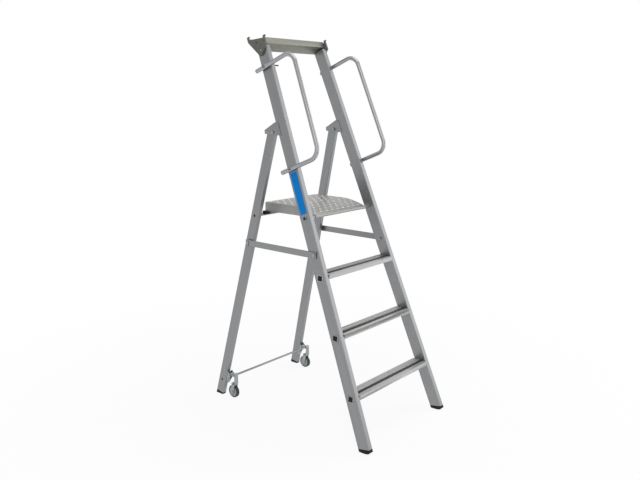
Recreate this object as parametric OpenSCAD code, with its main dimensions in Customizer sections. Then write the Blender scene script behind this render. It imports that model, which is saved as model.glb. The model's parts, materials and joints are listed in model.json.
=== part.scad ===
// Mobile platform steps: leaning front frame, lifting platform, folding rear frame on sprung castors.
// Y is measured from the front of the front feet towards the rear legs, then centred on the footprint.

/* [Front frame] */
// Half width over the stiles at the floor
front_half = 291; // [260:1:330]
// Depth of a stile tube, square to its length
stile_d = 57; // [48:1:70]
// Width of a stile tube
stile_w = 25; // [22:0.5:32]
// Wall of the stile tubes
stile_wall = 2; // [1.5:0.1:3]
// Rounding of the stiles' and legs' corners
tube_round = 3; // [1:0.1:5]
// Length of a stile from the floor to the tray
stile_len = 1797; // [1760:1:1900]
// Lean of the stiles from upright
stile_lean = 21.6; // [18:0.1:24]
// Angle at which the stiles draw together
stile_splay = 3.14; // [2:0.02:4]
// Length of a foot's plug inside the tube
plug_len = 40; // [25:1:60]
// Rubber under the rear edge of a stile
sole_t = 12; // [6:0.5:18]
// Rubber under the front edge of a rear leg
rear_sole_t = 9; // [6:0.5:14]
// Tilt of the tubes' cut ends, towards a square cut
sole_tilt = 11; // [0:0.5:16]

/* [Treads] */
// Height of the lowest tread spigot
first_spigot = 211; // [180:1:240]
// Height from one tread to the next
tread_pitch = 240; // [220:1:260]
// Depth of a tread
tread_d = 74; // [66:1:84]
// Front edge of a tread ahead of its spigot
tread_reach = 30; // [24:1:34]
// Standing surface above the spigot's centre
tread_rise = 16; // [14:0.5:22]
// Thickness of the tread's deck
deck_t = 5; // [4:0.5:7]
// Height of the tread's front and rear skirts
skirt_h = 19; // [14:0.5:24]
// Thickness of the skirts
skirt_t = 2.5; // [2:0.1:4]
// Depth of a spigot
spigot_d = 26; // [22:0.5:30]
// Height of a spigot
spigot_h = 25; // [20:0.5:28]
// Width of the dark grip strip
strip_w = 16; // [12:0.5:20]
// Grip strip behind the tread's front edge
strip_inset = 20; // [14:0.5:26]
// Thickness of the grip strip
strip_t = 2.6; // [2:0.1:3.5]

/* [Platform] */
// Height of the platform's pivot
platform_pivot_z = 934; // [925:1:945]
// Half width of the platform
platform_half = 175; // [150:1:185]
// Pivot to the rear face of the platform
platform_len = 302; // [260:1:310]
// Standing surface above the pivot
platform_rise = 35; // [28:0.5:45]
// Level part of the platform, from its rear face
platform_flat = 157; // [100:1:200]
// Thickness of the platform's sheet
sheet_t = 2.5; // [2:0.1:4]
// Height of the platform's sides at the rear
platform_side_h = 41; // [36:0.5:46]
// Radius of the rolled front edge
curl_r = 7; // [6:0.1:9]
// Radius of the pivot rod
rod_r = 4; // [3:0.1:5]
// Radius of a raised stud
stud_r = 4.5; // [3:0.1:6]
// Spacing of the studs
stud_pitch = 27; // [20:0.5:40]

/* [Handrails] */
// Diameter of the handrail tube
rail_d = 19; // [17:0.5:26]
// Wall of the handrail tube
rail_wall = 2; // [1.5:0.1:3]
// Lower arm of a handrail, up the stile
rail_low = 1237; // [1180:1:1300]
// Upper arm of a handrail, up the stile
rail_high = 1699; // [1600:1:1710]
// Grip ahead of the stile's front face
rail_reach = 142; // [110:1:170]
// Arms past the stile's rear face
rail_tail = 22; // [12:1:35]
// Bend radius at the tube's centre
rail_bend = 50; // [35:1:65]

/* [Tool tray] */
// Front wall of the tray behind the stile's front face
tray_set = 7; // [3:0.5:12]
// Height of the tray's front wall
tray_front_h = 26; // [18:1:34]
// Rear edge of the tray above the stile's end
tray_rear_h = 50; // [42:1:58]
// Depth of the tray's floor
tray_floor = 53; // [44:1:56]
// Fall of the floor towards the rear, past a square cut
tray_dip = 13; // [4:1:18]
// Spread of the rear wall
tray_flare = 28; // [16:1:36]
// Thickness of the tray's sheet
tray_t = 2.5; // [2:0.1:4]
// Thickness of an end cap
cap_t = 8; // [5:0.5:12]

/* [Rear frame] */
// Front of the rear legs behind the front of the stiles, at the floor
stance = 916; // [860:1:980]
// Rear legs inside the line of the stiles at the floor
rear_inset = 10; // [0:1:30]
// Depth of a rear leg
leg_d = 45; // [40:1:52]
// Width of a rear leg
leg_w = 22; // [19:0.2:22.4]
// Wall of the rear legs
leg_wall = 2; // [1.5:0.1:3]
// Height of the rear hinge
hinge_z = 1289; // [1250:1:1320]
// Gap from a stile to the leg behind it at the hinge
hinge_gap = 22; // [16:0.5:30]
// Height of the cross tube under the platform
cross_z = 912; // [906:1:916]
// Diameter of the cross tube
cross_d = 13; // [10:0.5:16]
// Clearance of the rear feet while the castors carry the frame
foot_lift = 3; // [1:0.5:6]

/* [Struts] */
// Height of the struts
strut_z = 785; // [740:1:830]
// Height of a strut's bar
strut_h = 28; // [24:0.5:34]
// Thickness of a strut
strut_t = 3; // [2:0.2:5]
// Turn of the struts for each degree of the rear fold
strut_ratio = 1.9; // [1.7:0.05:2]

/* [Castors] */
// Diameter of a castor wheel
wheel_d = 62; // [54:1:64]
// Width of a castor wheel
wheel_w = 18; // [14:0.5:22]
// Castor stem ahead of the rear legs at the floor
castor_reach = 68; // [62:1:80]
// Axle behind the stem
castor_trail = 6; // [0:0.5:12]
// Castor inside the middle of the rear leg
castor_in = 5; // [0:0.5:6]
// Height of the castor arms' pivot
arm_z = 112; // [104:1:120]
// Width of a castor arm
arm_w = 22; // [16:0.5:26]
// Radius of the cross rod
tie_r = 5; // [4:0.1:7]

/* [Hidden] */
$fn = 64;
// Running fit on a radius, clearance of fixed bolts, and clearance between moving faces
run_fit = 0.06;
bolt_fit = 0.1;
clear = 0.5;
// Overrun of every cut
over = 1;
rail_bolt_r = 3;
head_r = 7;
head_t = 4;
nut_t = 6;
washer_t = 1.2;

// Stile and leg faces at a height: Y of the faces, X of the outer faces
function stile_front(z) = z * tan(stile_lean);
function stile_rear(z) = stile_front(z) + stile_d / cos(stile_lean);
function stile_mid(z) = (stile_front(z) + stile_rear(z)) / 2;
function stile_out(z) = front_half - z * tan(stile_splay);
function stile_in(z) = stile_out(z) - stile_w / cos(stile_splay);
rear_half = front_half - rear_inset;
leg_lean = atan((stance - stile_rear(hinge_z) - hinge_gap) / hinge_z);
leg_top_mid = (stile_out(hinge_z) + stile_in(hinge_z)) / 2;
leg_splay = atan((rear_half - leg_w / 2 - leg_top_mid) / hinge_z);
function leg_front(z) = stance - z * tan(leg_lean);
function leg_mid(z) = leg_front(z) + leg_d / 2 / cos(leg_lean);
function leg_out(z) = rear_half - z * tan(leg_splay);
function leg_in(z) = leg_out(z) - leg_w / cos(leg_splay);
function leg_mid_x(z) = (leg_out(z) + leg_in(z)) / 2;

// Footprint, and the shift that centres it
front_edge = 0;
rear_edge = leg_front(foot_lift) + leg_d / cos(leg_lean);
mid_y = (front_edge + rear_edge) / 2;
tall = stile_len + tray_rear_h;
wide = front_half * 2;

// Hinge of the rear frame
pivot_inset = 9;
hinge_y = leg_front(hinge_z) + pivot_inset / cos(leg_lean);
leg_cap = 11;
hinge_bolt_r = 5;
cheek_t = 2.5;
cheek_lap = 16;
gusset_rise = 44;
gusset_drop = 12;
gusset_rear = 50;
gusset_rear_rise = 8;
rivet_r = 2.4;
rivet_head_r = 4.5;
rivet_head_t = 1.6;

// Platform
platform_y = stile_mid(platform_pivot_z);
platform_top = platform_pivot_z + platform_rise;
platform_rear = platform_y + platform_len;
platform_low = platform_top - platform_side_h;
platform_bend_y = platform_rear - platform_flat;
curve_run = platform_bend_y - platform_y;
curve_drop = platform_top - platform_pivot_z - curl_r;
curve_r = (curve_run * curve_run + curve_drop * curve_drop) / (2 * curve_drop);
curve_turn = asin(curve_run / curve_r);
curve_steps = 10;
stud_h = 1.4;
stud_margin = 22;

// Struts
strut_y = stile_mid(strut_z);
hook_y = leg_mid(strut_z);
strut_side = stile_out(strut_z - strut_h) + clear;
strut_end = 13;
strut_r = 4;
fold_arm_y = hook_y - hinge_y;
fold_arm_z = hinge_z - strut_z;
notch_slant = atan(fold_arm_z / (fold_arm_y + strut_ratio * (hook_y - strut_y)));
stud_head_r = 8;
stud_head_t = 2.5;
notch_fit = 0.3;
slot_fit = 0.8;

// Cross tube and pads
cross_r = cross_d / 2;
cross_y = leg_mid(cross_z);
cross_wall = 2;
pad_w = 34;
pad_out = 7;
pad_x = platform_half + pad_out - pad_w;
pad_d = 18;
pad_ahead = 14;
pad_top = platform_low - notch_fit;

// Castors
wheel_r = wheel_d / 2;
stem_y = stance - castor_reach;
axle_y = stem_y + castor_trail;
castor_x = leg_mid_x(arm_z) - castor_in;
bracket_t = 3;
bracket_low = 66;
bracket_high = 130;
pin_reach = 13;
arm_y = leg_front(arm_z) - bracket_t - pin_reach;
eye_r = 8.5;
pin_r = 4;
pin_head_r = 7.5;
arm_t = 4;
crown_t = 4;
crown_r = 14;
crown_gap = 4;
crown_top = wheel_d + crown_gap + crown_t;
foot_plate_low = crown_top + clear;
stem_r = 5;
stem_head_r = 8;
stem_head_t = 3;
stem_plate_r = 13;
strap_front = stem_y - stem_plate_r;
tie_boss_r = 8;
tie_z = arm_z + arm_t;
tie_y = strap_front + tie_boss_r;
tie_tail = 2;
fork_t = 2.5;
fork_gap = 1;
fork_w = 20;
fork_end_r = 8;
axle_r = 3;
tyre_t = 6;
tyre_round_share = 0.3;
hub_recess = 2;
hub_rim = 3;
hub_boss_r = 7;

LEFT = -1;
RIGHT = 1;
alloy = [0.74, 0.75, 0.76];
bright = [0.85, 0.86, 0.88];
zinc = [0.62, 0.66, 0.68];
black = [0.06, 0.06, 0.07];
dark_grey = [0.27, 0.27, 0.26];
band_blue = [0.0, 0.43, 0.72];

// Frames: the whole part, one side, the line of a stile, the line of a rear leg
module centred() {
  translate([0, -mid_y, 0]) children();
}
module hand(s) {
  mirror([s > 0 ? 1 : 0, 0, 0]) children();
}
module stile_side(s) {
  hand(s) translate([-front_half, 0, 0]) rotate([0, stile_splay, 0]) children();
}
module stile_line(s) {
  stile_side(s) rotate([-stile_lean, 0, 0]) children();
}
module leg_line(s) {
  hand(s) translate([-rear_half, stance, 0]) rotate([0, leg_splay, 0]) rotate([leg_lean, 0, 0]) children();
}
// A bar of the given outline in Y and Z, between two places in X
module across(x0, x1) {
  translate([x0, 0, 0]) rotate([90, 0, 90]) linear_extrude(x1 - x0) children();
}
// A round bar along X
module bar_x(r, x0, x1) {
  translate([x0, 0, 0]) rotate([0, 90, 0]) cylinder(r = r, h = x1 - x0);
}
// Everything from a height up, or from a height down
module above(z) {
  translate([-wide, -tall, z]) cube([wide * 2, tall * 2, tall * 2]);
}
module below(z) {
  translate([-wide, -tall, z - tall * 2]) cube([wide * 2, tall * 2, tall * 2]);
}
// The space between the inner faces of the stiles
module between_stiles() {
  translate([0, tall, 0]) rotate([90, 0, 0]) linear_extrude(tall * 2)
    polygon([[-stile_in(0), 0], [stile_in(0), 0], [stile_in(tall), tall], [-stile_in(tall), tall]]);
}
// The space between the outer faces of the stiles
module within_stiles() {
  translate([0, tall, 0]) rotate([90, 0, 0]) linear_extrude(tall * 2)
    polygon([[-stile_out(0), 0], [stile_out(0), 0], [stile_out(tall), tall], [-stile_out(tall), tall]]);
}

// A rectangle with rounded corners, and a tube of that outline
module rounded(w, d) {
  translate([tube_round, 0]) square([w - tube_round * 2, d]);
  translate([0, tube_round]) square([w, d - tube_round * 2]);
  for (x = [tube_round, w - tube_round], y = [tube_round, d - tube_round]) translate([x, y]) circle(r = tube_round);
}
module tube_outline(w, d, wall) {
  difference() {
    rounded(w, d);
    translate([wall, wall]) square([w - wall * 2, d - wall * 2]);
  }
}

// Stiles: rectangular tubes with holes for the spigots, the rod and the bolts
function spigot_z(i) = first_spigot + i * tread_pitch;
function side_up(z) = z / cos(stile_splay);
module spigot_block(s, z, grow, x0, x1) {
  stile_side(s) translate([x0, stile_mid(z) - spigot_d / 2 - grow, side_up(z) - spigot_h / 2 - grow])
    cube([x1 - x0, spigot_d + grow * 2, spigot_h + grow * 2]);
}
module rail_bolt_holes(s) {
  for (up = [rail_low, rail_high])
    stile_line(s) translate([0, stile_d / 2, up]) bar_x(rail_bolt_r + bolt_fit, -rail_d - over, stile_wall + over);
}
module stile(s) {
  centred() difference() {
    intersection() {
      stile_line(s) translate([0, 0, -stile_d]) linear_extrude(tall) tube_outline(stile_w, stile_d, stile_wall);
      stile_end();
    }
    tray_room();
    for (i = [0:2]) spigot_block(s, spigot_z(i), bolt_fit, -over, stile_w + over);
    rail_bolt_holes(s);
    translate([0, platform_y, platform_pivot_z]) bar_x(rod_r + bolt_fit, -wide, wide);
    translate([0, strut_y, strut_z]) bar_x(strut_r + bolt_fit, -wide, wide);
  }
}
module left_stile() { color(alloy) stile(LEFT); }
module right_stile() { color(alloy) stile(RIGHT); }

// Treads: smooth nose, ribbed deck, skirts and a box that ends in crimped spigots
rib_w = 3;
rib_h = 0.6;
rib_count = 6;
spigot_wall = 1.6;
collar_w = 2.5;
collar_t = 1.5;
module tread_profile(y, z) {
  front = y - tread_reach;
  top = z + tread_rise;
  rib_start = strip_inset + strip_w;
  rib_pitch = (tread_d - rib_start) / rib_count;
  difference() {
    union() {
      translate([front, top - deck_t]) square([tread_d, deck_t]);
      translate([front, top - skirt_h]) square([skirt_t, skirt_h]);
      translate([front + tread_d - skirt_t, top - skirt_h]) square([skirt_t, skirt_h]);
      translate([y - spigot_d / 2, top - skirt_h]) square([spigot_d, skirt_h - deck_t / 2]);
      for (i = [0:rib_count - 1])
        translate([front + rib_start + (rib_pitch - rib_w) / 2 + i * rib_pitch, top - rib_h]) square([rib_w, rib_h * 2]);
    }
    translate([y - spigot_d / 2 + spigot_wall, top - skirt_h + spigot_wall])
      square([spigot_d - spigot_wall * 2, skirt_h - deck_t - spigot_wall]);
    translate([front + strip_inset, top - strip_t]) square([strip_w, strip_t + rib_h + over]);
  }
}
module spigot(s, z) {
  into = stile_w + spigot_wall;
  difference() {
    union() {
      spigot_block(s, z, 0, -collar_t, into);
      spigot_block(s, z, collar_w, -collar_t, 0);
    }
    spigot_block(s, z, -spigot_wall, -collar_t - over, into + over);
  }
}
module tread(i) {
  z = spigot_z(i);
  color(alloy) centred() union() {
    intersection() {
      across(-front_half, front_half) tread_profile(stile_mid(z), z);
      between_stiles();
    }
    spigot(LEFT, z);
    spigot(RIGHT, z);
  }
}
module lower_tread() { tread(0); }
module middle_tread() { tread(1); }
module upper_tread() { tread(2); }

// Plugs that close the spigots' ends
spigot_plug_in = 12;
module spigot_plugs() {
  color(black) centred() for (s = [LEFT, RIGHT], i = [0:2])
    spigot_block(s, spigot_z(i), -spigot_wall - bolt_fit, -collar_t / 2, spigot_plug_in);
}

// Grip strips: dark inserts let into the deck of each tread
strip_proud = 1.4;
module grip_strip(i) {
  z = spigot_z(i);
  top = z + tread_rise;
  front = stile_mid(z) - tread_reach + strip_inset;
  color(black) centred() intersection() {
    across(-front_half, front_half)
      translate([front + bolt_fit, top - strip_t]) square([strip_w - bolt_fit * 2, strip_t + strip_proud]);
    between_stiles();
  }
}
module lower_grip_strip() { grip_strip(0); }
module middle_grip_strip() { grip_strip(1); }
module upper_grip_strip() { grip_strip(2); }

// Feet: rubber soles flush with the tubes, on plugs pushed up inside them
module stile_end() {
  translate([0, stile_rear(0), sole_t]) rotate([-sole_tilt, 0, 0]) above(0);
}
module leg_end() {
  translate([0, leg_front(foot_lift), foot_lift + rear_sole_t]) rotate([sole_tilt, 0, 0]) above(0);
}
module foot_block(w, d, inset, high) {
  translate([inset, inset, -d]) cube([w - inset * 2, d - inset * 2, high + d]);
}
module sole(w, d) {
  translate([0, 0, -d]) linear_extrude(d * 2) rounded(w, d);
}
module front_foot(s) {
  color(black) centred() union() {
    difference() {
      intersection() {
        stile_line(s) sole(stile_w, stile_d);
        above(0);
      }
      stile_end();
    }
    intersection() {
      stile_line(s) foot_block(stile_w, stile_d, stile_wall + bolt_fit, plug_len);
      above(sole_t / 2);
    }
  }
}
module rear_foot(s) {
  color(black) centred() union() {
    difference() {
      intersection() {
        leg_line(s) sole(leg_w, leg_d);
        above(foot_lift);
      }
      leg_end();
    }
    intersection() {
      leg_line(s) foot_block(leg_w, leg_d, leg_wall + bolt_fit, plug_len);
      above(foot_lift + rear_sole_t / 2);
    }
  }
}
module left_front_foot() { front_foot(LEFT); }
module right_front_foot() { front_foot(RIGHT); }
module left_rear_foot() { rear_foot(LEFT); }
module right_rear_foot() { rear_foot(RIGHT); }

// Handrails: bent tube bolted to the outer face of each stile
rail_r = rail_d / 2;
rail_seat = 0.2;
rail_end = stile_d + rail_tail;
module ring() {
  difference() {
    circle(r = rail_r);
    circle(r = rail_r - rail_wall);
  }
}
module handrail(s) {
  color(bright) centred() difference() {
    stile_line(s) translate([-rail_r - rail_seat, 0, 0]) union() {
      translate([0, -rail_reach, rail_low + rail_bend]) linear_extrude(rail_high - rail_low - rail_bend * 2) ring();
      for (up = [rail_low, rail_high])
        translate([0, rail_end, up]) rotate([90, 0, 0]) linear_extrude(rail_end + rail_reach - rail_bend) ring();
      translate([0, rail_bend - rail_reach, rail_low + rail_bend])
        rotate([180, 0, 0]) rotate([0, -90, 0]) rotate_extrude(angle = 90) translate([rail_bend, 0]) ring();
      translate([0, rail_bend - rail_reach, rail_high - rail_bend])
        rotate([90, 0, 0]) rotate([0, -90, 0]) rotate_extrude(angle = 90) translate([rail_bend, 0]) ring();
    }
    rail_bolt_holes(s);
  }
}
module left_handrail() { handrail(LEFT); }
module right_handrail() { handrail(RIGHT); }

// Plugs in the handrails' rear ends, and the bolts into nuts held inside the stiles
plug_t = 3;
plug_in = 12;
module handrail_plugs() {
  color(dark_grey) centred() for (s = [LEFT, RIGHT], up = [rail_low, rail_high])
    stile_line(s) translate([-rail_r - rail_seat, rail_end, up]) rotate([-90, 0, 0]) union() {
      cylinder(r = rail_r, h = plug_t);
      translate([0, 0, -plug_in]) cylinder(r = rail_r - rail_wall - bolt_fit, h = plug_in + plug_t);
    }
}
module handrail_bolts() {
  color(zinc) centred() for (s = [LEFT, RIGHT], up = [rail_low, rail_high])
    stile_line(s) translate([0, stile_d / 2, up]) union() {
      bar_x(rail_bolt_r, -rail_d - rail_seat - washer_t, stile_wall + nut_t);
      bar_x(head_r, -rail_d - rail_seat - washer_t, -rail_d - rail_seat);
      translate([stile_wall, 0, 0]) rotate([0, 90, 0]) cylinder(r = head_r, h = nut_t, $fn = 6);
    }
}

// Tool tray: folded sheet that lies on the ends of the stiles; outlines run back and up in the stiles' lean
dip_slant = atan(tray_dip / tray_floor);
rear_slant = atan2(tray_rear_h + tray_dip, tray_flare);
floor_lift = tray_t / cos(dip_slant);
rear_t = tray_t / sin(rear_slant);
tray_back = tray_set + tray_floor;
function seat(back) = stile_len - (back - tray_set) * tan(dip_slant);
module leaned() {
  rotate([-stile_lean, 0, 0]) children();
}
module tray_room() {
  leaned() across(-wide, wide)
    polygon([[-stile_d, seat(-stile_d) - bolt_fit], [stile_d * 2, seat(stile_d * 2) - bolt_fit], [stile_d * 2, tall * 2],
      [-stile_d, tall * 2]]);
}
module tray_sheet() {
  inner_front = tray_set + tray_t;
  inner_run = (floor_lift + tray_dip + (tray_floor - rear_t) * tan(rear_slant)) / (tan(rear_slant) + tan(dip_slant));
  inner_back = tray_set + inner_run;
  polygon([[tray_set, stile_len + tray_front_h], [tray_set, stile_len], [tray_back, seat(tray_back)],
    [tray_back + tray_flare, stile_len + tray_rear_h], [tray_back + tray_flare - rear_t, stile_len + tray_rear_h],
    [inner_back, seat(inner_back) + floor_lift], [inner_front, seat(inner_front) + floor_lift],
    [inner_front, stile_len + tray_front_h]]);
}
module tool_tray() {
  color(alloy) centred() intersection() {
    leaned() across(-front_half, front_half) tray_sheet();
    within_stiles();
  }
}

// End caps: moulded triangles with two hooks, screwed to the stiles over the ends of the tray
cap_margin = 5;
cap_ahead = 15;
cap_low = 10;
cap_tip = 42;
cap_tip_w = 14;
cap_tip_set = 16;
cap_lip = 1.2;
hook_w = 8;
hook_h = 12;
hook_lip = 5;
cap_hole_r = 4.5;
cap_screw_r = 2.5;
cap_screw_drop = 22;
cap_front = tray_set - cap_ahead;
cap_rear = tray_back + tray_flare + cap_margin;
cap_front_top = stile_len + tray_front_h - cap_margin;
cap_rear_top = stile_len + tray_rear_h + cap_lip;
cap_tip_back = tray_back - cap_tip_set;
cap_hole_back = (cap_front + cap_rear) / 2;
cap_hole_up = (cap_front_top + cap_rear_top) / 2 - hook_h - cap_hole_r;
module cap_hook(back, up) {
  translate([back, up - hook_h]) square([hook_w, hook_h * 2]);
  translate([back - hook_lip, up + hook_h - hook_lip]) square([hook_lip + hook_w, hook_lip]);
}
module cap_outline() {
  polygon([[cap_front, cap_front_top], [cap_front, stile_len - cap_low], [cap_tip_back - cap_tip_w, stile_len - cap_tip],
    [cap_tip_back, stile_len - cap_tip], [cap_rear, cap_rear_top - hook_h], [cap_rear, cap_rear_top]]);
  cap_hook(cap_front, cap_front_top);
  cap_hook(cap_rear - hook_w, cap_rear_top);
}
module tray_cap(s) {
  color(dark_grey) centred() stile_line(s) difference() {
    across(-cap_t, 0) cap_outline();
    translate([0, cap_hole_back, cap_hole_up]) bar_x(cap_hole_r, -cap_t - over, over);
    translate([0, stile_d / 2, stile_len - cap_screw_drop]) bar_x(cap_screw_r + bolt_fit, -cap_t - over, over);
  }
}
module left_tray_cap() { tray_cap(LEFT); }
module right_tray_cap() { tray_cap(RIGHT); }
module tray_cap_screws() {
  color(zinc) centred() for (s = [LEFT, RIGHT])
    stile_line(s) translate([0, stile_d / 2, stile_len - cap_screw_drop]) union() {
      bar_x(cap_screw_r, -cap_t - rivet_head_t, -bolt_fit);
      bar_x(rivet_head_r, -cap_t - rivet_head_t, -cap_t);
    }
}

// Hinge gussets: pressed cheeks on both faces of a stile, joined by a sloping roof over the leg
gusset_top = hinge_z + gusset_rise;
gusset_low = hinge_z - gusset_drop;
gusset_back = hinge_y + gusset_rear;
gusset_back_z = hinge_z + gusset_rear_rise;
function gusset_point(z, back) = [stile_rear(side_up(z)) + back, side_up(z)];
function gusset_rivet(i) = gusset_point(hinge_z + i * gusset_rise / 2, -cheek_lap / 2);
module cheek_outline() {
  polygon([gusset_point(gusset_top, -cheek_lap), gusset_point(gusset_top, 0), [gusset_back, side_up(gusset_back_z)],
    [gusset_back - cheek_t, side_up(hinge_z - gusset_rear_rise)], gusset_point(gusset_low, hinge_gap),
    gusset_point(gusset_low, -cheek_lap)]);
}
module roof_outline() {
  polygon([gusset_point(gusset_top, 0), [gusset_back, side_up(gusset_back_z)],
    [gusset_back, side_up(gusset_back_z) - cheek_t], gusset_point(gusset_top - cheek_t, 0)]);
}
module hinge_gusset(s) {
  color(alloy) centred() difference() {
    stile_side(s) union() {
      across(-cheek_t, 0) cheek_outline();
      across(stile_w, stile_w + cheek_t) cheek_outline();
      across(-cheek_t, stile_w + cheek_t) roof_outline();
    }
    translate([0, hinge_y, hinge_z]) bar_x(hinge_bolt_r + bolt_fit, -wide, wide);
    for (i = [0, 1]) stile_side(s) translate([0, gusset_rivet(i)[0], gusset_rivet(i)[1]])
      bar_x(rivet_r + bolt_fit, -cheek_t - over, stile_w + cheek_t + over);
  }
}
module left_hinge_gusset() { hinge_gusset(LEFT); }
module right_hinge_gusset() { hinge_gusset(RIGHT); }
module gusset_rivets() {
  color(zinc) centred() for (s = [LEFT, RIGHT], i = [0, 1], inner = [0, 1])
    stile_side(s) translate([inner * stile_w, gusset_rivet(i)[0], gusset_rivet(i)[1]])
      mirror([inner, 0, 0]) union() {
        bar_x(rivet_r, -cheek_t - rivet_head_t, 0);
        bar_x(rivet_head_r, -cheek_t - rivet_head_t, -cheek_t);
      }
}
module hinge_bolts() {
  out = stile_out(hinge_z) + cheek_t + clear;
  in = stile_in(hinge_z) - cheek_t - clear;
  color(zinc) centred() for (s = [LEFT, RIGHT])
    hand(s) translate([0, hinge_y, hinge_z]) union() {
      bar_x(hinge_bolt_r, -out - head_t, -in + nut_t);
      bar_x(head_r, -out - head_t, -out);
      translate([-in, 0, 0]) rotate([0, 90, 0]) cylinder(r = head_r, h = nut_t, $fn = 6);
    }
}

// Platform pivot rod across the stiles, and the bolts that carry the struts
module platform_pivot_rod() {
  out = stile_out(platform_pivot_z) + clear;
  color(zinc) centred() translate([0, platform_y, platform_pivot_z]) union() {
    bar_x(rod_r, -out - head_t, out + head_t);
    bar_x(head_r, -out - head_t, -out);
    bar_x(head_r, out, out + head_t);
  }
}
module strut_pivot_bolts() {
  strut_out = strut_side + strut_t + clear;
  in = stile_in(strut_z) - clear;
  color(zinc) centred() for (s = [LEFT, RIGHT])
    hand(s) translate([0, strut_y, strut_z]) union() {
      bar_x(strut_r, -strut_out - stud_head_t, -in + nut_t);
      bar_x(stud_head_r, -strut_out - stud_head_t, -strut_out);
      translate([-in, 0, 0]) rotate([0, 90, 0]) cylinder(r = head_r, h = nut_t, $fn = 6);
    }
}

// Plain blue band on the left stile
band_from = 1036;
band_to = 1222;
band_w = 38;
band_inset = 9.5;
band_t = 0.4;
module stile_band() {
  color(band_blue) centred() stile_line(LEFT)
    translate([-band_t, band_inset, band_from]) cube([band_t, band_w, band_to - band_from]);
}

// Platform: pressed sheet that curves down to a rolled front edge, with folded sides
function curve_point(i, r) = [platform_bend_y - r * sin(curve_turn * i / curve_steps),
  platform_top - curve_r + r * cos(curve_turn * i / curve_steps)];
module top_outline(t) {
  polygon(concat([[platform_rear, platform_top]], [for (i = [0:curve_steps]) curve_point(i, curve_r)],
    [for (i = [curve_steps:-1:0]) curve_point(i, curve_r - t)], [[platform_rear, platform_top - t]]));
}
module side_outline() {
  polygon(concat([[platform_rear, platform_top]], [for (i = [0:curve_steps]) curve_point(i, curve_r)],
    [[platform_y, platform_low], [platform_rear, platform_low]]));
}
module curl_space() {
  translate([0, platform_y, platform_pivot_z]) bar_x(curl_r, -wide, wide);
}
module platform_plate() {
  color(alloy) centred() difference() {
    union() {
      across(-platform_half, platform_half) top_outline(sheet_t);
      across(-platform_half, sheet_t - platform_half) side_outline();
      across(platform_half - sheet_t, platform_half) side_outline();
      across(-platform_half, platform_half)
        translate([platform_rear - sheet_t, platform_low]) square([sheet_t, platform_side_h]);
    }
    curl_space();
  }
}
module platform_curl() {
  color(alloy) centred() translate([0, platform_y, platform_pivot_z]) difference() {
    bar_x(curl_r, -platform_half, platform_half);
    bar_x(rod_r + run_fit, -platform_half - over, platform_half + over);
  }
}
stud_columns = floor((platform_half - stud_margin) / stud_pitch);
stud_rows = floor((platform_flat - stud_margin) / stud_pitch);
module platform_studs() {
  color(bright) centred() for (i = [-stud_columns:stud_columns], j = [0:stud_rows])
    translate([i * stud_pitch, platform_rear - stud_margin - j * stud_pitch, platform_top]) cylinder(r = stud_r, h = stud_h);
}

// Rear legs: rectangular tubes with bores for the hinge bolts and the cross tube
module rear_leg(s) {
  color(alloy) centred() difference() {
    intersection() {
      leg_line(s) translate([0, 0, -leg_d]) linear_extrude(tall) tube_outline(leg_w, leg_d, leg_wall);
      leg_end();
      below(hinge_z + leg_cap);
    }
    translate([0, hinge_y, hinge_z]) bar_x(hinge_bolt_r + run_fit, -wide, wide);
    translate([0, cross_y, cross_z]) bar_x(cross_r + bolt_fit, -wide, wide);
    hand(s) translate([0, hook_y, strut_z]) bar_x(strut_r + bolt_fit, -wide, 0);
    for (z = bracket_bolt_heights) leg_line(s) translate([bracket_bolt_x, 0, z]) bracket_bolt_space();
  }
}
module left_rear_leg() { rear_leg(LEFT); }
module right_rear_leg() { rear_leg(RIGHT); }
module rear_cross_tube() {
  out = leg_out(cross_z);
  color(alloy) centred() translate([0, cross_y, cross_z]) difference() {
    bar_x(cross_r, -out, out);
    bar_x(cross_r - cross_wall, -out - over, out + over);
  }
}
module platform_rest_pads() {
  color(black) centred() for (s = [LEFT, RIGHT])
    hand(s) difference() {
      across(-pad_x - pad_w, -pad_x)
        translate([cross_y - pad_ahead, cross_z]) square([pad_d, pad_top - cross_z]);
      translate([0, cross_y, cross_z]) bar_x(cross_r + bolt_fit, -wide, wide);
    }
}

// Studs that the struts hook over, with collars that stand them off the legs
module strut_hook_studs() {
  leg_face = leg_in(strut_z);
  strut_out = strut_side + strut_t + clear;
  color(zinc) centred() for (s = [LEFT, RIGHT])
    hand(s) translate([0, hook_y, strut_z]) union() {
      bar_x(strut_r, -strut_out - stud_head_t, -leg_face);
      bar_x(stud_head_r, -strut_out - stud_head_t, -strut_out);
      bar_x(stud_head_r, -strut_side + notch_fit, -leg_out(strut_z - stud_head_r) - bolt_fit);
    }
}

// Struts: flat bars that pivot on the stiles and hook over the leg studs
module strut(s) {
  slot_half = strut_r + slot_fit;
  color(alloy) centred() hand(s) difference() {
    across(-strut_side - strut_t, -strut_side)
      translate([strut_y - strut_end, strut_z - strut_h / 2]) square([hook_y - strut_y + strut_end * 2, strut_h]);
    translate([0, strut_y, strut_z]) bar_x(strut_r + run_fit, -wide, 0);
    translate([0, hook_y, strut_z]) bar_x(strut_r + notch_fit, -wide, 0);
    translate([0, hook_y, strut_z]) rotate([-notch_slant, 0, 0])
      translate([-wide, -slot_half, -strut_h]) cube([wide, slot_half * 2, strut_h]);
  }
}
module left_strut() { strut(LEFT); }
module right_strut() { strut(RIGHT); }

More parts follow.
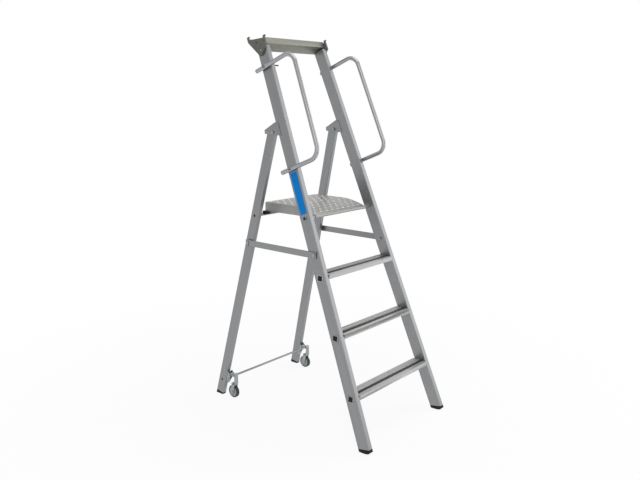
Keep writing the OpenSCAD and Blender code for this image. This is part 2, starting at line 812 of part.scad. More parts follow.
// Castor brackets: plates bolted to the front of the rear legs, with two ears for the pivot pin
bracket_mid = (bracket_low + bracket_high) / 2;
bracket_bolt_half = 15;
bracket_bolt_x = leg_w / 2 + castor_in;
bracket_bolt_heights = [bracket_mid - bracket_bolt_half, bracket_mid + bracket_bolt_half];
bracket_bolt_r = 3;
bracket_head_r = 5;
module bracket_bolt_space() {
  rotate([90, 0, 0]) translate([0, 0, -leg_wall - over])
    cylinder(r = bracket_bolt_r + bolt_fit, h = leg_wall + bracket_t + over * 2);
}
module ear_outline() {
  polygon([[arm_y, arm_z + eye_r], [arm_y, arm_z - eye_r], [leg_front(bracket_low) - bracket_t / 2, bracket_low],
    [leg_front(bracket_high) - bracket_t / 2, bracket_high]]);
  translate([arm_y, arm_z]) circle(r = eye_r);
}
ear_in = arm_w / 2 + clear;
module castor_bracket(s) {
  color(zinc) centred() difference() {
    union() {
      leg_line(s) translate([0, -bracket_t, bracket_low])
        cube([leg_w + castor_in * 2, bracket_t, bracket_high - bracket_low]);
      hand(s) for (x = [-castor_x - ear_in - bracket_t, -castor_x + ear_in])
        across(x, x + bracket_t) ear_outline();
    }
    leg_line(s) translate([-leg_w, 0, 0]) cube([leg_w * 3, leg_d, tall]);
    translate([0, arm_y, arm_z]) bar_x(pin_r + bolt_fit, -wide, wide);
    for (z = bracket_bolt_heights) leg_line(s) translate([bracket_bolt_x, 0, z]) bracket_bolt_space();
  }
}
module left_castor_bracket() { castor_bracket(LEFT); }
module right_castor_bracket() { castor_bracket(RIGHT); }
module castor_pivot_pins() {
  reach = ear_in + bracket_t;
  color(zinc) centred() for (s = [LEFT, RIGHT])
    hand(s) translate([-castor_x, arm_y, arm_z]) union() {
      bar_x(pin_r, -reach - rivet_head_t, reach + rivet_head_t);
      bar_x(pin_head_r, -reach - rivet_head_t, -reach);
      bar_x(pin_head_r, reach, reach + rivet_head_t);
    }
}
module bracket_bolts() {
  color(zinc) centred() for (s = [LEFT, RIGHT], z = bracket_bolt_heights)
    leg_line(s) translate([bracket_bolt_x, -bracket_t, z]) rotate([90, 0, 0]) union() {
      translate([0, 0, -leg_wall - bracket_t]) cylinder(r = bracket_bolt_r, h = leg_wall + bracket_t);
      cylinder(r = bracket_head_r, h = rivet_head_t);
    }
}

// Castor arms: bent straps from the pivot eye over to the castor's stem, tied by the cross rod
module arm_outline() {
  translate([strap_front, arm_z]) square([arm_y - strap_front, arm_t]);
  translate([strap_front, foot_plate_low]) square([arm_t, arm_z + arm_t - foot_plate_low]);
  translate([strap_front, foot_plate_low]) square([stem_plate_r * 2, arm_t]);
  translate([arm_y, arm_z]) circle(r = eye_r);
  translate([tie_y, tie_z]) circle(r = tie_boss_r);
}
module castor_arm(s) {
  color(zinc) centred() hand(s) difference() {
    across(-castor_x - arm_w / 2, arm_w / 2 - castor_x) arm_outline();
    translate([0, arm_y, arm_z]) bar_x(pin_r + run_fit, -wide, 0);
    translate([0, tie_y, tie_z]) bar_x(tie_r + bolt_fit, -wide, 0);
    translate([-castor_x, stem_y, foot_plate_low - over]) cylinder(r = stem_r + run_fit, h = arm_t + over * 2);
  }
}
module left_castor_arm() { castor_arm(LEFT); }
module right_castor_arm() { castor_arm(RIGHT); }
module castor_cross_rod() {
  reach = castor_x + arm_w / 2 + tie_tail;
  color(zinc) centred() translate([0, tie_y, tie_z]) bar_x(tie_r, -reach, reach);
}

// Castors: swivelling forks, pressed axles, hubs and tyres
fork_in = wheel_w / 2 + fork_gap;
module castor_fork(s) {
  color(zinc) centred() hand(s) translate([-castor_x, 0, 0]) difference() {
    union() {
      translate([0, stem_y, crown_top - crown_t]) cylinder(r = crown_r, h = crown_t);
      translate([0, stem_y, crown_top - crown_t]) cylinder(r = stem_r, h = crown_t + clear * 2 + arm_t + stem_head_t);
      translate([0, stem_y, foot_plate_low + arm_t + clear]) cylinder(r = stem_head_r, h = stem_head_t);
      for (x = [-fork_in - fork_t, fork_in]) across(x, x + fork_t) union() {
        translate([axle_y, wheel_r]) circle(r = fork_end_r);
        polygon([[axle_y - fork_end_r, wheel_r], [axle_y + fork_end_r, wheel_r], [stem_y + fork_w / 2, crown_top],
          [stem_y - fork_w / 2, crown_top]]);
      }
      across(-fork_in - fork_t, fork_in + fork_t)
        translate([stem_y - fork_w / 2, crown_top - crown_t]) square([fork_w, crown_t]);
    }
    translate([0, axle_y, wheel_r]) bar_x(axle_r + bolt_fit, -wide, wide);
  }
}
module left_castor_fork() { castor_fork(LEFT); }
module right_castor_fork() { castor_fork(RIGHT); }
module castor_axle(s) {
  reach = fork_in + fork_t;
  color(bright) centred() hand(s) translate([-castor_x, axle_y, wheel_r]) union() {
    bar_x(axle_r, -reach - rivet_head_t, reach + rivet_head_t);
    bar_x(rivet_head_r, -reach - rivet_head_t, -reach);
    bar_x(rivet_head_r, reach, reach + rivet_head_t);
  }
}
module left_castor_axle() { castor_axle(LEFT); }
module right_castor_axle() { castor_axle(RIGHT); }
hub_r = wheel_r - tyre_t;
half_w = wheel_w / 2;
module hub_section() {
  polygon([[axle_r + run_fit, -half_w], [hub_boss_r, -half_w], [hub_boss_r, hub_recess - half_w],
    [hub_r - hub_rim, hub_recess - half_w], [hub_r - hub_rim, -half_w], [hub_r, -half_w], [hub_r, half_w],
    [hub_r - hub_rim, half_w], [hub_r - hub_rim, half_w - hub_recess], [hub_boss_r, half_w - hub_recess],
    [hub_boss_r, half_w], [axle_r + run_fit, half_w]]);
}
module tyre_section() {
  round_in = tyre_t * tyre_round_share;
  inner = hub_r + bolt_fit / 2;
  polygon([[inner, -half_w], [wheel_r - round_in, -half_w], [wheel_r, round_in - half_w], [wheel_r, half_w - round_in],
    [wheel_r - round_in, half_w], [inner, half_w]]);
}
module at_wheel(s) {
  centred() hand(s) translate([-castor_x, axle_y, wheel_r]) rotate([0, 90, 0]) rotate_extrude() children();
}
module left_castor_wheel() { color(dark_grey) at_wheel(LEFT) hub_section(); }
module right_castor_wheel() { color(dark_grey) at_wheel(RIGHT) hub_section(); }
module left_castor_tyre() { color(black) at_wheel(LEFT) tyre_section(); }
module right_castor_tyre() { color(black) at_wheel(RIGHT) tyre_section(); }

left_stile();
right_stile();
lower_tread();
middle_tread();
upper_tread();
spigot_plugs();
lower_grip_strip();
middle_grip_strip();
upper_grip_strip();
left_front_foot();
right_front_foot();
left_handrail();
right_handrail();
handrail_plugs();
handrail_bolts();
tool_tray();
left_tray_cap();
right_tray_cap();
tray_cap_screws();
left_hinge_gusset();
right_hinge_gusset();
gusset_rivets();
hinge_bolts();
platform_pivot_rod();
strut_pivot_bolts();
stile_band();
platform_plate();
platform_curl();
platform_studs();
left_rear_leg();
right_rear_leg();
rear_cross_tube();
platform_rest_pads();
left_rear_foot();
right_rear_foot();
left_castor_bracket();
right_castor_bracket();
castor_pivot_pins();
bracket_bolts();
strut_hook_studs();
left_strut();
right_strut();
left_castor_arm();
right_castor_arm();
castor_cross_rod();
left_castor_fork();
right_castor_fork();
left_castor_axle();
right_castor_axle();
left_castor_wheel();
right_castor_wheel();
left_castor_tyre();
right_castor_tyre();
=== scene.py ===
import json
import math

import bmesh
import bpy
from mathutils import Matrix, Vector


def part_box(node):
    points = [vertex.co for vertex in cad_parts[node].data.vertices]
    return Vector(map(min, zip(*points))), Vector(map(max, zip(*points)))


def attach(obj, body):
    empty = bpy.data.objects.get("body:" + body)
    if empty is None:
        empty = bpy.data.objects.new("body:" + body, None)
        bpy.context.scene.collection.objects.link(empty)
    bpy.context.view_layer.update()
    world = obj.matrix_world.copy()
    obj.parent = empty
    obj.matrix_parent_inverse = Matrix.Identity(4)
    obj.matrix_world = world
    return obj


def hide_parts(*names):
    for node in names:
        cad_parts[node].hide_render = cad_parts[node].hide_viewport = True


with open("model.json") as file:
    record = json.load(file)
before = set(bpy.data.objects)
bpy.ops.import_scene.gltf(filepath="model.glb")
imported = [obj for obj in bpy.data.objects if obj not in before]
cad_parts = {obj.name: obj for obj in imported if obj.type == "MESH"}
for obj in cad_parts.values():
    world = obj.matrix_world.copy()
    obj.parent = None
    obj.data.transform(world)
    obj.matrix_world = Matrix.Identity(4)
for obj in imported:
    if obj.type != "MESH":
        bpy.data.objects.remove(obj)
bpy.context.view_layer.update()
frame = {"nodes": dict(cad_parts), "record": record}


# Stiles: two rectangular aluminium tubes that lean back and draw together towards the head.
# They are extruded with rounded corners, left in their satin mill finish, and punched for the treads,
# the platform's rod and the bolts.
STILE_LEAN = math.radians(21.6)
STILE_SPLAY = math.radians(3.14)
STILE_TURN = (-STILE_LEAN, STILE_SPLAY, 0.0)
SATIN_DARK = (0.21, 0.216, 0.222, 1.0)
SATIN_LIGHT = (0.244, 0.25, 0.255, 1.0)
SATIN_METAL = 0.7
SATIN_ROUGH = (0.29, 0.35)
LINE_SIZE = (0.004, 0.004, 0.6)
LINE_DETAIL = 3.0
LINE_PRESS = 0.015
LINE_DEPTH = 0.0004
PATCH_SIZE = (0.05, 0.05, 0.3)
PATCH_DETAIL = 2.0
NOISE_ROUGH = 0.6


def node_of(finish, kind, **inputs):
    """Adds a node to a finish and sets its inputs by name."""
    made = finish.node_tree.nodes.new("ShaderNode" + kind)
    for key, value in inputs.items():
        made.inputs[key.replace("_", " ")].default_value = value
    return made


def join(finish, source, output, target, key):
    """Links an output of one node to an input of another."""
    finish.node_tree.links.new(source.outputs[output], target.inputs[key])


def new_finish(name, metallic, rough):
    """A finish with its shader's plain numbers set."""
    finish = bpy.data.materials.new(name)
    finish.use_nodes = True
    shader = finish.node_tree.nodes["Principled BSDF"]
    shader.inputs["Metallic"].default_value = metallic
    shader.inputs["Roughness"].default_value = rough
    return finish, shader


def streaks(finish, turn, size, detail):
    """Noise drawn out along a tube: turn is the tube's lean, size the grain's length on each axis."""
    place = node_of(finish, "TexCoord")
    lie = node_of(finish, "Mapping", Rotation=turn, Scale=size)
    lie.vector_type = "TEXTURE"
    noise = node_of(finish, "TexNoise", Scale=1.0, Detail=detail, Roughness=NOISE_ROUGH)
    join(finish, place, "Object", lie, "Vector")
    join(finish, lie, "Vector", noise, "Vector")
    return noise


def tint(finish, noise, shader, dark, light, low=0.3, high=0.7):
    """Runs the noise through a ramp of two colours into the shader's colour."""
    ramp = node_of(finish, "ValToRGB")
    ramp.color_ramp.elements[0].position = low
    ramp.color_ramp.elements[0].color = dark
    ramp.color_ramp.elements[1].position = high
    ramp.color_ramp.elements[1].color = light
    join(finish, noise, "Fac", ramp, "Fac")
    join(finish, ramp, "Color", shader, "Base Color")


def vary_rough(finish, noise, shader, least, most):
    """Lets the roughness wander between two values."""
    span = node_of(finish, "MapRange", To_Min=least, To_Max=most)
    join(finish, noise, "Fac", span, "Value")
    join(finish, span, "Result", shader, "Roughness")


def bump(finish, noise, shader, strength, depth):
    """Presses the noise into the surface."""
    press = node_of(finish, "Bump", Strength=strength, Distance=depth)
    join(finish, noise, "Fac", press, "Height")
    join(finish, press, "Normal", shader, "Normal")


def drawn_alloy(name, turn, dark, light, metallic=SATIN_METAL, rough=SATIN_ROUGH, press=LINE_PRESS):
    """Extruded aluminium: fine lines along the tube, and slow patches of duller metal."""
    finish, shader = new_finish(name, metallic, rough[0])
    lines = streaks(finish, turn, LINE_SIZE, LINE_DETAIL)
    patches = streaks(finish, turn, PATCH_SIZE, PATCH_DETAIL)
    tint(finish, lines, shader, dark, light)
    vary_rough(finish, patches, shader, *rough)
    bump(finish, lines, shader, press, LINE_DEPTH)
    return finish


def dress(finish, *names):
    """Gives CAD nodes a finish."""
    for name in names:
        mesh = frame["nodes"][name].data
        mesh.materials.clear()
        mesh.materials.append(finish)


stile_finish = drawn_alloy("stile_alloy", STILE_TURN, SATIN_DARK, SATIN_LIGHT)
dress(stile_finish, "left_stile", "right_stile")

# Treads: aluminium extrusions with a smooth nose and a ribbed deck, crimped into the stiles through
# hollow spigots. The lines of the die run along each tread, and its edges are eased by the die.
ACROSS = (0.0, math.radians(90), 0.0)
TREAD_DARK = (0.4, 0.4, 0.395, 1.0)
TREAD_LIGHT = (0.47, 0.47, 0.465, 1.0)
TREAD_METAL = 0.35
TREAD_EDGE = 0.0004
MERGE_GAP = 0.00002
FLAT_ANGLE = math.radians(1.0)
FACING = 0.9


def finished(name, shape, finish, body, sharp=32.0):
    """Turns a shape into a piece that rides on a body, smooth except at its sharp edges."""
    mesh = bpy.data.meshes.new(name)
    shape.to_mesh(mesh)
    shape.free()
    mesh.shade_smooth()
    mesh.set_sharp_from_angle(angle=math.radians(sharp))
    mesh.materials.append(finish)
    piece = bpy.data.objects.new(name, mesh)
    bpy.context.scene.collection.objects.link(piece)
    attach(piece, body)
    return piece


def body_of(node):
    """The body that a CAD node belongs to."""
    bodies = frame["record"]["behaviour"]["bodies"]
    return next(body for body, nodes in bodies.items() if node in nodes)


def rims_of(shape, turn):
    """The outside edges of a shape at which its faces turn by more than an angle in degrees."""
    return [
        edge
        for edge in shape.edges
        if edge.is_manifold and edge.is_convex and edge.calc_face_angle() > math.radians(turn)
    ]


def rims_facing_away(rims, middle):
    """The edges among these with a face that looks along X, away from a middle."""
    kept = []
    for edge in rims:
        side = math.copysign(1.0, edge.verts[0].co.x - middle)
        if any(face.normal.x * side > FACING for face in edge.link_faces):
            kept.append(edge)
    return kept


def eased(finish, width, *nodes, segments=2, turn=35.0, away=None, form=None):
    """Copies CAD nodes with their outside edges rounded over, and lets the copies stand for them.

    With away, a share of the node's own X, only the rims of faces that look away from there are rounded.
    With form, a function of the shape and the node, the copy is reshaped before its edges are rounded.
    """
    for node in nodes:
        shape = bmesh.new()
        shape.from_mesh(frame["nodes"][node].data)
        bmesh.ops.remove_doubles(shape, verts=shape.verts, dist=MERGE_GAP)
        bmesh.ops.dissolve_limit(shape, angle_limit=FLAT_ANGLE, verts=shape.verts, edges=shape.edges)
        if form:
            form(shape, node)
        rims = rims_of(shape, turn)
        if away is not None:
            low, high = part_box(node)
            rims = rims_facing_away(rims, (low[0] + high[0]) / 2 * away)
        bmesh.ops.bevel(
            shape,
            geom=rims,
            offset=width,
            offset_type="OFFSET",
            segments=segments,
            profile=0.5,
            affect="EDGES",
            clamp_overlap=True,
            material=-1,
        )
        piece = finished(node + "_eased", shape, finish, body_of(node))
        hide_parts(node)


tread_finish = drawn_alloy("tread_alloy", ACROSS, TREAD_DARK, TREAD_LIGHT, TREAD_METAL)
eased(tread_finish, TREAD_EDGE, "lower_tread", "middle_tread", "upper_tread")

# Grip strips: black rubber profiles pressed into a groove along each tread's deck.
# The rubber is matt and ribbed lengthways, with dust in its pores.
STRIP_DARK = (0.012, 0.012, 0.016, 1.0)
STRIP_LIGHT = (0.03, 0.03, 0.036, 1.0)
STRIP_ROUGH = 0.62
STRIP_EDGE = 0.0003
DUST_SIZE, DUST_DETAIL = 0.03, 4.0
DUST_SMOOTHER, DUST_ROUGHER = 0.1, 0.12
PIT_SIZE, PIT_DETAIL = 0.0012, 2.0
PIT_PRESS, PIT_DEPTH = 0.25, 0.0005


def specks(finish, size, detail):
    """Noise of the same size on every axis."""
    return streaks(finish, (0.0, 0.0, 0.0), (size, size, size), detail)


def rubber(name, dark, light, rough):
    """Moulded rubber: near black, finely pitted, with a little pale dust."""
    finish, shader = new_finish(name, 0.0, rough)
    dust = specks(finish, DUST_SIZE, DUST_DETAIL)
    pits = specks(finish, PIT_SIZE, PIT_DETAIL)
    tint(finish, dust, shader, dark, light, low=0.4, high=0.75)
    vary_rough(finish, dust, shader, rough - DUST_SMOOTHER, rough + DUST_ROUGHER)
    bump(finish, pits, shader, PIT_PRESS, PIT_DEPTH)
    return finish


strip_finish = rubber("grip_rubber", STRIP_DARK, STRIP_LIGHT, STRIP_ROUGH)
eased(strip_finish, STRIP_EDGE, "lower_grip_strip", "middle_grip_strip", "upper_grip_strip")

# Feet: black rubber soles, flush with the ends of the stiles and rear legs, on plugs pushed up inside.
# They are moulded, with a slight bluish bloom. Their edges are worn round, and the front ones turn up
# at the toe.
FOOT_DARK = (0.003, 0.003, 0.008, 1.0)
FOOT_LIGHT = (0.009, 0.009, 0.016, 1.0)
FOOT_ROUGH = 0.6
FOOT_SHINE = 0.2
SOLE_EDGE, SOLE_TURN = 0.003, 50.0
SOLE_SLACK = 0.0002
TOE_LENGTH, TOE_RISE, TOE_SLICES = 0.04, 0.014, 8


def toe_up(shape, foot):
    """Rounds the toe end of a front foot's sole up along the stile."""
    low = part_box(foot)[0]
    side = math.copysign(1.0, low[0])
    slide = Vector((-side * math.tan(STILE_SPLAY), math.tan(STILE_LEAN), 1.0))
    sole_level = low[2] + SOLE_SLACK
    for number in range(TOE_SLICES):
        back = TOE_LENGTH * (1.0 - math.sin(math.radians(90) * number / TOE_SLICES))
        under = [face for face in shape.faces if all(vert.co.z < sole_level for vert in face.verts)]
        rim = {edge for face in under for edge in face.edges}
        corners = {vert for face in under for vert in face.verts}
        cut = (0.0, low[1] + back, 0.0)
        bmesh.ops.bisect_plane(shape, geom=[*corners, *rim, *under], plane_co=cut, plane_no=(0.0, 1.0, 0.0))
    for vert in shape.verts:
        ahead = min(1.0 - (vert.co.y - low[1]) / TOE_LENGTH, 1.0)
        if ahead > 0.0 and vert.co.z < sole_level:
            vert.co += slide * TOE_RISE * (1.0 - math.sqrt(1.0 - ahead * ahead))
    shape.normal_update()


def set_shine(finish, level):
    """Sets how strongly a finish mirrors what is round it."""
    finish.node_tree.nodes["Principled BSDF"].inputs["Specular IOR Level"].default_value = level


foot_finish = rubber("foot_rubber", FOOT_DARK, FOOT_LIGHT, FOOT_ROUGH)
set_shine(foot_finish, FOOT_SHINE)
eased(foot_finish, SOLE_EDGE, "left_front_foot", "right_front_foot", segments=4, turn=SOLE_TURN, form=toe_up)
eased(foot_finish, SOLE_EDGE, "left_rear_foot", "right_rear_foot", segments=4, turn=SOLE_TURN)

# Spigot plugs: black plastic blocks pushed into the hollow ends of the treads' spigots.
# They are moulded like the feet and sit just inside the crimped collars.
SPIGOT_PLUG_EDGE = 0.0006
eased(foot_finish, SPIGOT_PLUG_EDGE, "spigot_plugs")

# Handrails: bright drawn aluminium tube, bent to a loop and bolted to each stile's outer face.
# Dark plastic plugs close the rear ends, and the bolts run into nuts held inside the stiles.
# A thin pin stands out of the left stile's inner face by the upper arm.
RAIL_DARK = (0.26, 0.268, 0.28, 1.0)
RAIL_LIGHT = (0.33, 0.338, 0.35, 1.0)
RAIL_METAL = 0.85
RAIL_ROUGH = (0.2, 0.26)
RAIL_PRESS = 0.002
RAIL_PLUG_DARK = (0.03, 0.03, 0.03, 1.0)
RAIL_PLUG_LIGHT = (0.05, 0.05, 0.05, 1.0)
RAIL_PLUG_ROUGH = 0.45
RAIL_PLUG_EDGE = 0.0024
RAIL_BOLT_DARK = (0.12, 0.125, 0.13, 1.0)
RAIL_BOLT_LIGHT = (0.2, 0.205, 0.21, 1.0)
RAIL_BOLT_ROUGH = 0.34
RAIL_BOLT_EDGE = 0.0008
CLOUD_METAL = 0.8
CLOUD_SIZE, CLOUD_DETAIL = 0.006, 4.0
CLOUD_SMOOTHER, CLOUD_ROUGHER = 0.08, 0.1
CLOUD_PRESS, CLOUD_DEPTH = 0.08, 0.0004
FRAME_MIDDLE = 0.4808
STILE_INNER = 0.266
PIN_UP, PIN_BACK = 1.701, 0.02
PIN_RADIUS, PIN_LENGTH = 0.003, 0.04
BAR_SIDES = 20


def zinc(name, dark, light, rough):
    """Zinc plate: small cloudy patches and a soft shine."""
    finish, shader = new_finish(name, CLOUD_METAL, rough)
    clouds = specks(finish, CLOUD_SIZE, CLOUD_DETAIL)
    tint(finish, clouds, shader, dark, light)
    vary_rough(finish, clouds, shader, rough - CLOUD_SMOOTHER, rough + CLOUD_ROUGHER)
    bump(finish, clouds, shader, CLOUD_PRESS, CLOUD_DEPTH)
    return finish


def round_bar(shape, radius, length, middle):
    """Adds a round bar along X to a shape."""
    lie = Matrix.Translation(middle) @ Matrix.Rotation(math.radians(90), 4, "Y")
    bmesh.ops.create_cone(
        shape, cap_ends=True, segments=BAR_SIDES, radius1=radius, radius2=radius, depth=length, matrix=lie
    )


def on_stile(up, back):
    """Y and Z of a place up a stile and behind its front face."""
    return (
        up * math.sin(STILE_LEAN) + back * math.cos(STILE_LEAN) - FRAME_MIDDLE,
        up * math.cos(STILE_LEAN) - back * math.sin(STILE_LEAN),
    )


rail_finish = drawn_alloy("rail_alloy", STILE_TURN, RAIL_DARK, RAIL_LIGHT, RAIL_METAL, RAIL_ROUGH, RAIL_PRESS)
dress(rail_finish, "left_handrail", "right_handrail")
plug_finish = rubber("plug_plastic", RAIL_PLUG_DARK, RAIL_PLUG_LIGHT, RAIL_PLUG_ROUGH)
eased(plug_finish, RAIL_PLUG_EDGE, "handrail_plugs", segments=4)
bolt_finish = zinc("bolt_zinc", RAIL_BOLT_DARK, RAIL_BOLT_LIGHT, RAIL_BOLT_ROUGH)
eased(bolt_finish, RAIL_BOLT_EDGE, "handrail_bolts", segments=3)
pin_y, pin_z = on_stile(PIN_UP, PIN_BACK)
pin_x = PIN_LENGTH / 2 - STILE_INNER + pin_z * math.tan(STILE_SPLAY)
pin = bmesh.new()
round_bar(pin, PIN_RADIUS, PIN_LENGTH, (pin_x, pin_y, pin_z))
finished("rail_pin", pin, strip_finish, "front_frame")

# Tool tray: aluminium sheet folded to a trough that lies on the stiles' ends.
# Its front is a warmer grey than the tubes, with roll marks from end to end and hemmed edges.
TRAY_DARK = (0.215, 0.213, 0.187, 1.0)
TRAY_LIGHT = (0.25, 0.247, 0.219, 1.0)
TRAY_METAL = 0.75
TRAY_ROUGH = (0.46, 0.56)
TRAY_EDGE = 0.0006
HEM_RADIUS = 0.0021
FRONT_HEM = (1.823, 0.0082)
REAR_HEM = (1.847, 0.0866)
tray_finish = drawn_alloy("tray_alloy", ACROSS, TRAY_DARK, TRAY_LIGHT, TRAY_METAL, TRAY_ROUGH)
eased(tray_finish, TRAY_EDGE, "tool_tray")
tray_low, tray_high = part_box("tool_tray")
hems = bmesh.new()
for hem_up, hem_back in (FRONT_HEM, REAR_HEM):
    hem_y, hem_z = on_stile(hem_up, hem_back)
    reach = tray_high[0] - (hem_z - tray_low[2]) * math.tan(STILE_SPLAY)
    round_bar(hems, HEM_RADIUS, reach * 2, (0.0, hem_y, hem_z))
finished("tray_hems", hems, tray_finish, "front_frame")

# End caps: moulded dark grey plastic with hooks for hanging tools, screwed to the stiles.
# The plastic has a fine grain from its mould, and rounded edges. The screws are zinc plated.
CAP_DARK = (0.085, 0.084, 0.076, 1.0)
CAP_LIGHT = (0.125, 0.122, 0.112, 1.0)
CAP_ROUGH = 0.42
CAP_EDGE = 0.0016
SHADE_SIZE, SHADE_DETAIL = 0.02, 3.0
SHADE_SMOOTHER, SHADE_ROUGHER = 0.06, 0.08
GRAIN_SIZE, GRAIN_DETAIL = 0.0008, 2.0
GRAIN_PRESS, GRAIN_DEPTH = 0.2, 0.0003
ZINC_DARK = (0.2, 0.228, 0.235, 1.0)
ZINC_LIGHT = (0.32, 0.352, 0.36, 1.0)
ZINC_ROUGH = 0.3
CAP_SCREW_EDGE = 0.0009


def moulding(name, dark, light, rough):
    """Moulded plastic: an even colour with a fine grain."""
    finish, shader = new_finish(name, 0.0, rough)
    shades = specks(finish, SHADE_SIZE, SHADE_DETAIL)
    grain = specks(finish, GRAIN_SIZE, GRAIN_DETAIL)
    tint(finish, shades, shader, dark, light)
    vary_rough(finish, shades, shader, rough - SHADE_SMOOTHER, rough + SHADE_ROUGHER)
    bump(finish, grain, shader, GRAIN_PRESS, GRAIN_DEPTH)
    return finish


cap_finish = moulding("cap_plastic", CAP_DARK, CAP_LIGHT, CAP_ROUGH)
eased(cap_finish, CAP_EDGE, "left_tray_cap", "right_tray_cap", segments=3)
zinc_finish = zinc("zinc_plate", ZINC_DARK, ZINC_LIGHT, ZINC_ROUGH)
eased(zinc_finish, CAP_SCREW_EDGE, "tray_cap_screws", segments=3)

# Hinge gussets: pressed aluminium cheeks on both faces of each stile, joined by a roof over the leg.
# Rivets hold them to the stile, and a bolt through both cheeks carries the leg.
GUSSET_EDGE = 0.0021
GUSSET_RIVET_EDGE = 0.0009
eased(stile_finish, GUSSET_EDGE, "left_hinge_gusset", "right_hinge_gusset", segments=3, away=1.0)
eased(zinc_finish, GUSSET_RIVET_EDGE, "gusset_rivets", "hinge_bolts", segments=3)

# Pivot rod of the platform and bolts of the struts: zinc plated steel, through both walls of the stiles.
# Their heads are turned with rounded rims, and black plastic buttons close the ends of the rod.
ROD_EDGE = 0.0012
STRUT_BOLT_EDGE = 0.001
BUTTON_RADIUS, BUTTON_HEIGHT = 0.0064, 0.0016
DOME_SIDES, DOME_RINGS = 24, 12


def right_end(node):
    """The middle of a CAD node's right end."""
    low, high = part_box(node)
    return (high[0], (low[1] + high[1]) / 2, (low[2] + high[2]) / 2)


def domes(name, centre, radius, height, finish, body):
    """A pair of low domes on the outer faces, one on each side of the middle."""
    shape = bmesh.new()
    for side in (-1.0, 1.0):
        place = Matrix.Translation((side * centre[0], centre[1], centre[2]))
        lie = place @ Matrix.Diagonal((height, radius, radius, 1.0))
        bmesh.ops.create_uvsphere(
            shape, u_segments=DOME_SIDES, v_segments=DOME_RINGS, radius=1.0, matrix=lie
        )
    return finished(name, shape, finish, body)


eased(zinc_finish, ROD_EDGE, "platform_pivot_rod", segments=3)
eased(zinc_finish, STRUT_BOLT_EDGE, "strut_pivot_bolts", segments=3)
rod_end = right_end("platform_pivot_rod")
domes("rod_buttons", rod_end, BUTTON_RADIUS, BUTTON_HEIGHT, foot_finish, "front_frame")

# Band: plain blue film, stuck to the left stile's outer face.
# It is a dull film, with slight wear along the stile.
BAND_DARK = (0.0, 0.2, 0.62, 1.0)
BAND_LIGHT = (0.0, 0.24, 0.7, 1.0)
BAND_ROUGH = 0.55
BAND_SHINE = 0.15
WEAR_SIZE, WEAR_DETAIL = (0.02, 0.02, 0.05), 4.0
band_finish, band_shader = new_finish("blue_film", 0.0, BAND_ROUGH)
band_wear = streaks(band_finish, STILE_TURN, WEAR_SIZE, WEAR_DETAIL)
tint(band_finish, band_wear, band_shader, BAND_DARK, BAND_LIGHT)
set_shine(band_finish, BAND_SHINE)
dress(band_finish, "stile_band")

# Platform: pressed aluminium sheet, folded down at the sides and rear, rolled round its rod in front.
# The deck is dull between its raised studs.
DECK_DARK = (0.29, 0.288, 0.278, 1.0)
DECK_LIGHT = (0.34, 0.338, 0.326, 1.0)
DECK_METAL = 0.35
DECK_ROUGH = (0.4, 0.5)
DECK_EDGE = 0.0009
deck_finish = drawn_alloy("platform_alloy", ACROSS, DECK_DARK, DECK_LIGHT, DECK_METAL, DECK_ROUGH)
eased(deck_finish, DECK_EDGE, "platform_plate")
dress(deck_finish, "platform_curl")

# Studs: oval bumps pressed up from the platform's sheet, in staggered rows down over its front curve.
# Their colour is painted much lighter than the deck's, a painted highlight for the glint of light on the
# domes.
STUD_HIGHLIGHT_DARK = (0.52, 0.52, 0.52, 1.0)
STUD_HIGHLIGHT_LIGHT = (0.6, 0.6, 0.6, 1.0)
STUD_METAL = 0.6
STUD_ROUGH = (0.24, 0.34)
STUD_HALF = (0.0062, 0.005, 0.0019)
STUD_SUNK = 0.2
STUD_SIDES, STUD_RINGS = 10, 6
STUD_SHARP = 60.0
STUD_PITCH = 0.038
STUD_ROW = 0.0225
STUD_MARGIN = 0.016
DECK_FLAT = 0.157
CURVE_RADIUS = 0.3894


def corners_of(parts):
    """The vertices among the parts of a shape."""
    return [part for part in parts if isinstance(part, bmesh.types.BMVert)]


# The studs' light colour is a painted highlight, not the sheet's own tone.
stud_finish = drawn_alloy("stud_alloy_painted_highlight", ACROSS, STUD_HIGHLIGHT_DARK, STUD_HIGHLIGHT_LIGHT, STUD_METAL, STUD_ROUGH)
deck_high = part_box("platform_plate")[1]
studs = bmesh.new()
bmesh.ops.create_uvsphere(studs, u_segments=STUD_SIDES, v_segments=STUD_RINGS, radius=1.0)
bmesh.ops.bisect_plane(
    studs,
    geom=studs.verts[:] + studs.edges[:] + studs.faces[:],
    plane_co=(0.0, 0.0, -STUD_SUNK),
    plane_no=(0.0, 0.0, -1.0),
    clear_outer=True,
)
bmesh.ops.holes_fill(studs, edges=[edge for edge in studs.edges if edge.is_boundary])
bmesh.ops.scale(studs, vec=STUD_HALF, verts=studs.verts)
dome = studs.verts[:] + studs.edges[:] + studs.faces[:]
curve_length = CURVE_RADIUS * math.asin((deck_high[1] - DECK_FLAT - rod_end[1]) / CURVE_RADIUS)
row_count = int((DECK_FLAT + curve_length - STUD_MARGIN * 2) / STUD_ROW) + 1
column_half = int((deck_high[0] - STUD_MARGIN) / STUD_PITCH)
for row in range(row_count):
    run = STUD_MARGIN + row * STUD_ROW
    turn = max(run - DECK_FLAT, 0.0) / CURVE_RADIUS
    back = deck_high[1] - min(run, DECK_FLAT) - CURVE_RADIUS * math.sin(turn)
    height = deck_high[2] - CURVE_RADIUS * (1.0 - math.cos(turn))
    shift = STUD_PITCH / 2 if row % 2 else 0.0
    for column in range(-column_half, column_half + 1):
        across = column * STUD_PITCH + shift
        if abs(across) > deck_high[0] - STUD_MARGIN:
            continue
        copy = bmesh.ops.duplicate(studs, geom=dome)["geom"]
        place = Matrix.Translation((across, back, height)) @ Matrix.Rotation(turn, 4, "X")
        bmesh.ops.transform(studs, matrix=place, verts=corners_of(copy))
bmesh.ops.delete(studs, geom=corners_of(dome), context="VERTS")
stud_piece = finished("pressed_studs", studs, stud_finish, "platform", STUD_SHARP)
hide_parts("platform_studs")

